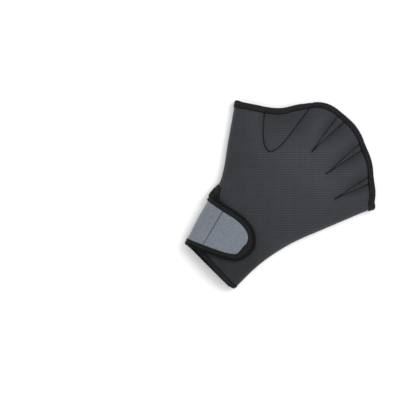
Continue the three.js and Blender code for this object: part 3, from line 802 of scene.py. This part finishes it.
tape_rise = 1e-3*np.array([1.05, 1.24, 1.34, 1.30, 1.10, 0.78, 0.64, 0.80, 1.00, 1.06, 1.00,
                           0.80, 0.25])
nose_turn = np.radians(np.linspace(78, -78, 8))


def evened(strip, spacing, blur, closed):
    """Stations of a strip at an even spacing, each then averaged with its neighbours under a
    bell of the given width, so that corners and joins run on smoothly"""
    if closed:
        strip = np.concatenate([strip, strip[:1]])
    run = np.append(0, np.linalg.norm(np.diff(strip, axis=0), axis=-1).mean(1).cumsum())
    count = int(round(run[-1]/spacing))
    stations = np.linspace(0, run[-1], count, endpoint=not closed)
    flat = strip.reshape(len(strip), -1)
    even = np.stack([np.interp(stations, run, column) for column in flat.T], axis=1)
    reach = int(3*blur/spacing) + 1
    weights = bell(np.arange(-reach, reach + 1)*spacing/blur)
    room = ((reach, reach), (0, 0))
    if closed:
        padded = np.pad(even, room, mode="wrap")
    else:
        padded = np.pad(even, room, mode="reflect", reflect_type="odd")
    even = sum(w*padded[k:k + len(even)] for k, w in enumerate(weights/weights.sum()))
    return even.reshape(len(even), *strip.shape[1:])


def slope_along(strip, closed):
    """Change of a strip at each station, from the one before to the next, also past the join
    of a ring. Only its direction is used."""
    if closed:
        return np.roll(strip, -1, axis=0) - np.roll(strip, 1, axis=0)
    return np.gradient(strip, axis=0)


def tape_frame(strip, closed):
    """Normals of a strip of cloth, on its outer face, which are the way along it crossed with
    the way in, and the way out past its edge. The strip runs with the cloth on its left, seen
    from the outer face."""
    turns = np.cross(slope_along(strip, closed), np.gradient(strip, axis=1))
    return unit(turns + 0.7*turns.mean(1, keepdims=True)), unit(strip[:, 0] - strip[:, 1])


def puckers(run, across):
    """Small waves of a stitched tape, 6 mm long and uneven: two sines along it, strongest at
    its inner edge"""
    return (np.sin(run*1040 + 1.4*np.sin(run*163)) + 0.6*np.sin(run*1630 + 2.3*across)) * (
        0.4 + 0.6*across)


def folded_tape(name, strip, closed, nose_reach, bulk=0.):
    """Tape round the edge of a strip of cloth. Its section goes over the outer face from the
    inner edge, round the nose in half an ellipse, back under the other face, and closes along
    the cloth. Distances from the middle of the cloth are half a wall plus the tape's rise. The
    bulk of a gathered corner adds to the rise."""
    normals, outward = tape_frame(strip, closed)
    run = run_along(strip[:, tape_steps//2])[:, None]
    each = np.zeros_like(run)
    k = np.arange(tape_steps)
    nose = np.zeros(len(nose_turn), int)
    hidden = k[::2]
    column = np.concatenate([k[::-1], nose, k, hidden[::-1], hidden])
    wave = pucker_height*puckers(run, k/(tape_steps - 1))
    top = wall/2 + tape_rise + wave*(tape_rise > puckered_from) + bulk
    front = (wall/2 + tape_rise[0] + bulk)*np.sin(nose_turn) + each
    against = np.full(len(hidden), wall/2 + tucked) + each
    rise = np.hstack([top[:, ::-1], front, -top, -against, against])
    reach = np.zeros((len(strip), len(column)))
    reach[:, tape_steps:tape_steps + len(nose)] = nose_reach*np.cos(nose_turn)
    reach[:, -len(hidden)] = turned_in
    reach[:, -len(hidden) - 1] = turned_in
    points = (strip[:, column] + normals[:, column]*rise[..., None]
              + outward[:, None]*reach[..., None])
    size = len(column)
    ids = np.arange(len(strip)*size).reshape(len(strip), size)
    ids = np.hstack([ids, ids[:, :1]])
    if closed:
        ids = np.vstack([ids, ids[:1]])
    faces = np.stack([ids[:-1, :-1], ids[:-1, 1:], ids[1:, 1:], ids[1:, :-1]], -1)
    faces = faces.reshape(-1, 4).tolist()
    if not closed:
        faces += [ids[0, :-1][::-1].tolist(), ids[-1, :-1].tolist()]
    uv = np.stack(np.broadcast_arrays(run, column/(tape_steps - 1)), axis=-1)
    piece = new_piece(name, points, faces, tape_material, uv)
    return piece


def crowded(count):
    """Shares from 0 to 1 that crowd at both ends, half of one less a cosine"""
    return (1 - np.cos(np.linspace(0, math.pi, count)))/2


def panel_strip(height, u, v):
    """Strip of a panel's cloth at shares u and v: the place in plan and the height there"""
    p = plan_at(u, v)
    return np.concatenate([p, height(p)[..., None]], axis=-1)


tape_shares = np.linspace(0, 1, tape_steps)
fine = crowded(1100)[:, None]
lengths = np.linalg.norm(plan_at(fine, 1.) - plan_at(fine, 0.), axis=-1)
edge_way = unit(np.gradient(plan_at(fine, 1.)[:, 0], axis=0))
finger_way = unit(plan_at(fine, 1.) - plan_at(fine, 0.99))[:, 0]
slant = np.abs(edge_way[:, 0]*finger_way[:, 1] - edge_way[:, 1]*finger_way[:, 0])[:, None]
slim_from, slim_run = 0.3, 0.25
finger_width = mix(finger_tape_width, slim_tape_width, smooth((fine - slim_from)/slim_run))/slant
finger_v = 1 - tape_shares*finger_width/lengths
finger_strip = evened(np.concatenate([
    panel_strip(palm_height, fine[::-1], finger_v[::-1]),
    panel_strip(back_height, fine, finger_v)]), tape_spacing, finger_blur, True)
to_corner = np.min([np.linalg.norm(finger_strip[:, 0, :2] - finger_edge(end), axis=-1)
                    for end in (0., 1.)], axis=0)[:, None]
gather_reach = 0.004
finger_gather = 0.0008
finger_nose = nose_length + finger_gather*bell(to_corner/gather_reach)
finger_binding = folded_tape("finger_binding", finger_strip, True, finger_nose)
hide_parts("finger_binding_palm", "finger_binding_back")

# A second folded tape binds the wrist edge, goes round the fold onto the strap and its tip,
# back to the fold, up one side of the slit and down the other, as one length. It is wider at
# the strap's tip, and gathered at the top of the slit and where the strap turns onto it.
cuff_v = tape_shares*finger_tape_width/lengths
slit_start = slit_inset_low/(2*half_wrist)
palm_cuff = panel_strip(palm_height, mix(slit_start, 1, fine), cuff_v)
back_cuff = panel_strip(back_height, fine[::-1], cuff_v[::-1])
outline_shares = mix(0.002, 0.998, crowded(3000))
outline = strap_outline(outline_shares)
tip_extra, tip_middle, tip_reach = 0.0042, 0.472, 0.088
upper_extra, upper_from, upper_run = 0.0007, 0.55, 0.1
strap_width = (strap_tape_width + tip_extra*bell((outline_shares - tip_middle)/tip_reach)
               + upper_extra*smooth((outline_shares - upper_from)/upper_run))
strap_reach = (strap_width[:, None]*tape_shares)[..., None]
strap_p = outline[:, None] + left_of(outline)[:, None]*strap_reach
strap_strip = np.concatenate([strap_p, strap_height(strap_p)[..., None]], axis=-1)
back_slit_top, palm_slit_top = slit_top_share - 0.008, slit_top_share - 0.009
slit_v = np.linspace(strap_top_share, back_slit_top, 160)[:, None]
back_slit = panel_strip(back_height, tape_shares*finger_tape_width/width_at(slit_v), slit_v)
seam_room = 0.38  # longer than the thumb side, so that the tape is short at the slit's end
seam_plan = thumb_side(slit_top_share + tape_shares*slit_tape_width/seam_room)
slit_end = np.concatenate([seam_plan, np.full((tape_steps, 1), seam_height)], axis=-1)[None]
palm_slit_v = np.linspace(0.02, palm_slit_top, 500)[::-1][:, None]
narrow_share, narrow_run = 0.68, 0.09
palm_slit_tape = slit_tape_width*mix(narrow_share, 1,
                                     smooth((slit_top_share - palm_slit_v)/narrow_run))
palm_slit_u = (slit_inset(palm_slit_v) + tape_shares*palm_slit_tape)/width_at(palm_slit_v)
palm_slit = panel_strip(palm_height, palm_slit_u, palm_slit_v)
cuff_strip = evened(np.concatenate([palm_cuff, back_cuff, strap_strip, back_slit, slit_end,
                                    palm_slit]), tape_spacing, cuff_blur, False)
slit_loop = np.linalg.norm(cuff_strip[:, 0] - slit_end[0, 0], axis=-1)[:, None]
bulge_middle, bulge_reach, ripple_pitch = 0.0055, 0.0040, 0.0032
loop_bulge = bell((slit_loop - bulge_middle)/bulge_reach)
slit_gather, bulge_height, ripple_height = 0.0010, 0.0012, 0.0005
loop_nose = (nose_length + slit_gather*bell(slit_loop/gather_reach) + bulge_height*loop_bulge
             + ripple_height*loop_bulge*np.sin(slit_loop*2*math.pi/ripple_pitch))
strap_corner = np.append(thumb_side(strap_top_share), fold_radius)
to_strap = np.linalg.norm(cuff_strip[:, 0] - strap_corner, axis=-1)[:, None]
at_corner = bell(to_strap/gather_reach)
strap_gather, strap_bulk = 0.0010, 0.0012
cuff_binding = folded_tape("cuff_and_strap_binding", cuff_strip, False,
                           loop_nose + strap_gather*at_corner, strap_bulk*at_corner)
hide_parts("cuff_binding_palm", "cuff_binding_back", "slit_binding_palm",
            "slit_binding_back", "strap_binding")

# Zigzag stitches run along the middle of each tape, in thread a little lighter than the tape,
# and go down between the needle holes at every turn.
thread_material, _, along, thread_shader = new_material("thread", 0.55, 0.05, 0.3, 0.3)
twist_pitch = 0.0008
twist = along.math("SINE", along.part(0)*(2*math.pi/twist_pitch) + along.part(1)*2*math.pi)
finish_material(thread_shader, (twist*0.5 + 0.5).blend((0.020, 0.0205, 0.022, 1),
                                                       (0.052, 0.053, 0.056, 1)),
                None, twist, 0.00008)
thread_sides, thread_radius, thread_lift = 6, 0.00017, 0.00016
stitch_pitch, stitch_middle, stitch_half, hole_depth = 0.0013, 6, 1.7, 0.00035


def between_nodes(grid, i, j):
    """Value of a grid at a place between its nodes, blended from the nearest four"""
    i0 = np.minimum(i.astype(int), len(grid) - 2)
    j0 = np.minimum(j.astype(int), grid.shape[1] - 2)
    s, t = (i - i0)[:, None], (j - j0)[:, None]
    low = mix(grid[i0, j0], grid[i0 + 1, j0], s)
    high = mix(grid[i0, j0 + 1], grid[i0 + 1, j0 + 1], s)
    return mix(low, high, t)


def swing_at(t):
    """Straight runs from 1 at each even t to minus 1 at each odd one"""
    return np.abs((t % 2) - 1)*2 - 1


def thread_along(name, path, normals, radius, material=thread_material):
    """Thread with flat sides along an open path: each ring is the path plus the radius times a
    cosine of the normal and a sine of the side"""
    tangent = unit(np.gradient(path, axis=0))
    side = unit(np.cross(tangent, normals))
    up = np.cross(side, tangent)
    turn = np.linspace(0, 2*math.pi, thread_sides, endpoint=False)[:, None]
    points = path[:, None] + radius*(np.cos(turn)*up[:, None] + np.sin(turn)*side[:, None])
    ids = np.arange(len(path)*thread_sides).reshape(-1, thread_sides)
    ids = np.hstack([ids, ids[:, :1]])
    faces = np.stack([ids[:-1, :-1], ids[1:, :-1], ids[1:, 1:], ids[:-1, 1:]], -1)
    faces = faces.reshape(-1, 4).tolist() + [ids[0, :-1].tolist(), ids[-1, :-1][::-1].tolist()]
    sides = np.arange(thread_sides)/thread_sides
    uv = np.stack(np.broadcast_arrays(run_along(path)[:, None], sides), axis=-1)
    piece = new_piece(name, points, faces, material, uv)


def zigzag_on(name, strip, closed, face, first, last):
    """Zigzag of thread over a tape: from side to side of the stitch row in straight runs, and
    deeper at each turn. The face is 1 for the outer face and -1 for the inner one."""
    normals, _ = tape_frame(strip, closed)
    if closed:
        strip = np.concatenate([strip, strip[:1]])
        normals = np.concatenate([normals, normals[:1]])
    turns = int((last - first)*(len(strip) - 1)*tape_spacing/stitch_pitch)
    t = np.linspace(0, turns, turns*6 + 1)
    swing = swing_at(t)
    i = mix(first, last, t/turns)*(len(strip) - 1.001)
    j = stitch_middle + stitch_half*swing
    place_on = between_nodes(strip, i, j)
    normal = unit(between_nodes(normals, i, j))
    lift = np.interp(j, np.arange(tape_steps), tape_rise)
    hole = hole_depth*np.abs(swing)**8
    path = place_on + face*normal*(wall/2 + lift + thread_lift - hole)[:, None]
    thread_along(name, path, face*normal, thread_radius)


zigzag_on("finger_stitches_outer", finger_strip, True, 1, 0, 1)
zigzag_on("finger_stitches_inner", finger_strip, True, -1, 0, 1)
zigzag_on("cuff_stitches_outer", cuff_strip, False, 1, 0.02, 0.98)
zigzag_on("cuff_stitches_inner", cuff_strip, False, -1, 0.02, 0.98)

# The seams of the webs and of the strap are joined edge to edge with a fine dark thread that
# crosses from one edge to the other.
seam_thread, _, along, seam_shader = new_material("seam_thread", 0.8, 0., 0.5, 0.03)
finish_material(seam_shader, along.noise(900.).blend((0.0035, 0.0036, 0.0042, 1),
                                                    (0.0100, 0.0104, 0.0115, 1)))
seam_sink, seam_arch, seam_span = 0.00022, 0.00008, 0.0004


def ladder(name, line, height, face, half=0.00032, pitch=0.0010, radius=0.00036):
    """Seam stitches along a line in plan: thread that swings from side to side of the seam,
    just above the cloth, and sinks at every turn"""
    run = run_along(line)
    turns = int(run[-1]/pitch)
    t = np.linspace(0, turns, turns*4 + 1)
    s = run[-1]*t/turns
    p = np.stack([np.interp(s, run, line[:, 0]), np.interp(s, run, line[:, 1])], 1)
    across = left_of(p)
    swing = swing_at(t)
    p = p + half*swing[:, None]*across
    outermost = face*np.max([face*height(p + side*across)
                             for side in (-seam_span, 0, seam_span)], axis=0)
    lift = face*(wall/2 - seam_sink + seam_arch*(1 - swing**2))
    path = np.column_stack([p, outermost + lift])
    normals = np.zeros_like(path) + (0, 0, face)
    thread_along(name, path, normals, radius, seam_thread)


for name, seam in zip(web_names, web_seams):
    ladder(f"{name}_seam_of_palm", seam, palm_height, 1)
    ladder(f"{name}_seam_of_back", seam, back_height, -1)
seam_rows = np.linspace(0.13, 0.88, 60)
strap_seam_line = strap_plan(seam_reach(seam_rows)/strap_length + tab_start, seam_rows)
ladder("strap_seam", strap_seam_line, strap_height, 1, 0.00012, 0.0010, 0.00013)
